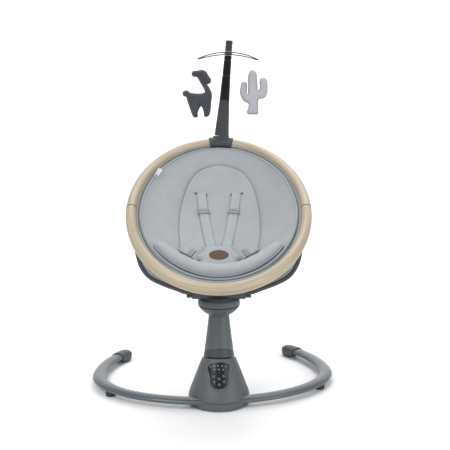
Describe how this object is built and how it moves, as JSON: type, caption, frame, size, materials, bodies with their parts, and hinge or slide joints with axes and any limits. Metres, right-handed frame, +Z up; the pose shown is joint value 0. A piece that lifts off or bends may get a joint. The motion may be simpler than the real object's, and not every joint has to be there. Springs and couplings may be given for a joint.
{
  "type": "powered baby swing",
  "caption": "Baby swing: C-shaped floor base, round pedestal with a key panel, swaying stalk and fork, reclined oval wooden ring with padded seat and harness, toy mast.",
  "frame": {"origin": "on the floor, at the middle of the swing seen from above", "axes": "+X to the right seen from the front, +Y to the back, +Z up"},
  "size_m": [0.6342, 0.6104, 0.8866],
  "materials": {
    "tube_paint": "satin grey paint",
    "grey_shell": "fine satin grey",
    "dark_plastic": "satin dark grey",
    "gloss_black": "glossy near-black",
    "foot_rubber": "matt black",
    "drive_steel": "brushed",
    "bush_brass": "machined",
    "circuit": "green solder mask",
    "beech": "pale satin beech",
    "knit_grey": "pale grey knit",
    "strap_web": "pale grey woven web",
    "patch_leather": "matt brown",
    "toy_felt": "dark melange felt",
    "toy_satin": "pale satin"
  },
  "bodies": {
    "base": {"base_tube_right": "tube_paint", "base_tube_left": "tube_paint", "end_cap_right": "dark_plastic", "end_cap_left": "dark_plastic", "peg_foot_right": "foot_rubber", "peg_foot_left": "foot_rubber", "pedestal_cone": "grey_shell", "panel_bib": "grey_shell", "panel_lens": "gloss_black", "circuit_board": "circuit", "base_pan": "grey_shell", "grip_ring": "foot_rubber", "power_inlet": "gloss_black", "bearing_housing": "dark_plastic", "upper_bush": "bush_brass", "lower_bush": "bush_brass", "gear_motor": "drive_steel"},
    "crank": {"crank_disc": "drive_steel"},
    "stalk": {"sway_post": "drive_steel", "stalk_cuff": "dark_plastic", "stalk_tube": "grey_shell", "hub_bowl": "grey_shell", "hub_cover": "grey_shell", "fork_saddle": "dark_plastic", "fork_arm_right": "dark_plastic", "fork_arm_left": "dark_plastic"},
    "recline_button": {"recline_button": "gloss_black"},
    "seat": {"ring_upper": "beech", "ring_lower": "beech", "ring_joiner_right": "dark_plastic", "ring_joiner_left": "dark_plastic", "sling": "knit_grey", "seat_pad": "knit_grey", "lip_bolster": "knit_grey", "shoulder_strap_right": "strap_web", "shoulder_strap_left": "strap_web", "waist_strap_right": "strap_web", "waist_strap_left": "strap_web", "crotch_strap": "strap_web", "harness_buckle": "dark_plastic", "crotch_pad": "knit_grey", "leather_patch": "patch_leather", "ring_clip": "dark_plastic"},
    "shoulder_adjuster_right": {"shoulder_adjuster_right": "dark_plastic"},
    "shoulder_adjuster_left": {"shoulder_adjuster_left": "dark_plastic"},
    "waist_adjuster_right": {"waist_adjuster_right": "dark_plastic"},
    "waist_adjuster_left": {"waist_adjuster_left": "dark_plastic"},
    "buckle_button": {"buckle_button": "gloss_black"},
    "toy_mast": {"mast_lower": "dark_plastic", "mast_upper": "gloss_black", "mast_cap": "gloss_black", "crossbar": "gloss_black"},
    "llama": {"llama": "toy_felt"},
    "cactus": {"cactus": "toy_satin"},
    "key_1": {"key_1": "gloss_black"},
    "key_2": {"key_2": "gloss_black"},
    "key_3": {"key_3": "gloss_black"},
    "key_4": {"key_4": "gloss_black"},
    "key_5": {"key_5": "gloss_black"},
    "key_6": {"key_6": "gloss_black"}
  },
  "joints": [
    {"name": "sway", "type": "hinge", "parent": "base", "child": "stalk", "pos_m": [0.01563, -0.08199, 0.114], "axis": [0, 0.1564, 0.9877], "range_deg": [-15, 15]},
    {"name": "crank_spin", "type": "hinge", "parent": "base", "child": "crank", "pos_m": [0.01563, -0.05433, 0.10962], "axis": [0, 0.1564, 0.9877], "range_deg": [-60, 60]},
    {"name": "seat_recline", "type": "hinge", "parent": "stalk", "child": "seat", "pos_m": [0.01563, -0.05099, 0.442], "axis": [1, 0, 0], "range_deg": [0, 10]},
    {"name": "recline_button_press", "type": "slide", "parent": "stalk", "child": "recline_button", "axis": [0, -1, 0], "range_m": [0, 0.003], "stiffness_N_per_m": 600},
    {"name": "toy_mast_lift", "type": "slide", "parent": "seat", "child": "toy_mast", "axis": [0.0785, 0, 0.9969], "range_m": [0, 0.04]},
    {"name": "llama_hang", "type": "hinge", "parent": "toy_mast", "child": "llama", "pos_m": [-0.02812, 0.09574, 0.84253], "axis": [0, 1, 0], "range_deg": [-20, 20]},
    {"name": "cactus_hang", "type": "hinge", "parent": "toy_mast", "child": "cactus", "pos_m": [0.10617, 0.09574, 0.84083], "axis": [0, 1, 0], "range_deg": [-20, 20]},
    {"name": "key_1_press", "type": "slide", "parent": "base", "child": "key_1", "axis": [0, 0.9039, -0.4278], "range_m": [0, 0.0008], "stiffness_N_per_m": 500},
    {"name": "key_2_press", "type": "slide", "parent": "base", "child": "key_2", "axis": [0, 0.9039, -0.4278], "range_m": [0, 0.0008], "stiffness_N_per_m": 500},
    {"name": "key_3_press", "type": "slide", "parent": "base", "child": "key_3", "axis": [0, 0.9039, -0.4278], "range_m": [0, 0.0008], "stiffness_N_per_m": 500},
    {"name": "key_4_press", "type": "slide", "parent": "base", "child": "key_4", "axis": [0, 0.9039, -0.4278], "range_m": [0, 0.0008], "stiffness_N_per_m": 500},
    {"name": "key_5_press", "type": "slide", "parent": "base", "child": "key_5", "axis": [0, 0.9039, -0.4278], "range_m": [0, 0.0008], "stiffness_N_per_m": 500},
    {"name": "key_6_press", "type": "slide", "parent": "base", "child": "key_6", "axis": [0, 0.9039, -0.4278], "range_m": [0, 0.0008], "stiffness_N_per_m": 500},
    {"name": "buckle_press", "type": "slide", "parent": "seat", "child": "buckle_button", "axis": [0, 0.515, -0.8572], "range_m": [0, 0.002], "stiffness_N_per_m": 500},
    {"name": "shoulder_adjuster_right_slide", "type": "slide", "parent": "seat", "child": "shoulder_adjuster_right", "axis": [-0.1371, -0.7283, -0.6714], "range_m": [-0.004, 0.004]},
    {"name": "waist_adjuster_right_slide", "type": "slide", "parent": "seat", "child": "waist_adjuster_right", "axis": [-0.8701, -0.2711, -0.4117], "range_m": [-0.004, 0]},
    {"name": "shoulder_adjuster_left_slide", "type": "slide", "parent": "seat", "child": "shoulder_adjuster_left", "axis": [0.1371, -0.7283, -0.6714], "range_m": [-0.004, 0.004]},
    {"name": "waist_adjuster_left_slide", "type": "slide", "parent": "seat", "child": "waist_adjuster_left", "axis": [0.8701, -0.2711, -0.4117], "range_m": [-0.004, 0]}
  ],
  "couplings": [
    {"joint": "crank_spin", "follows": "sway", "ratio": 4}
  ]
}
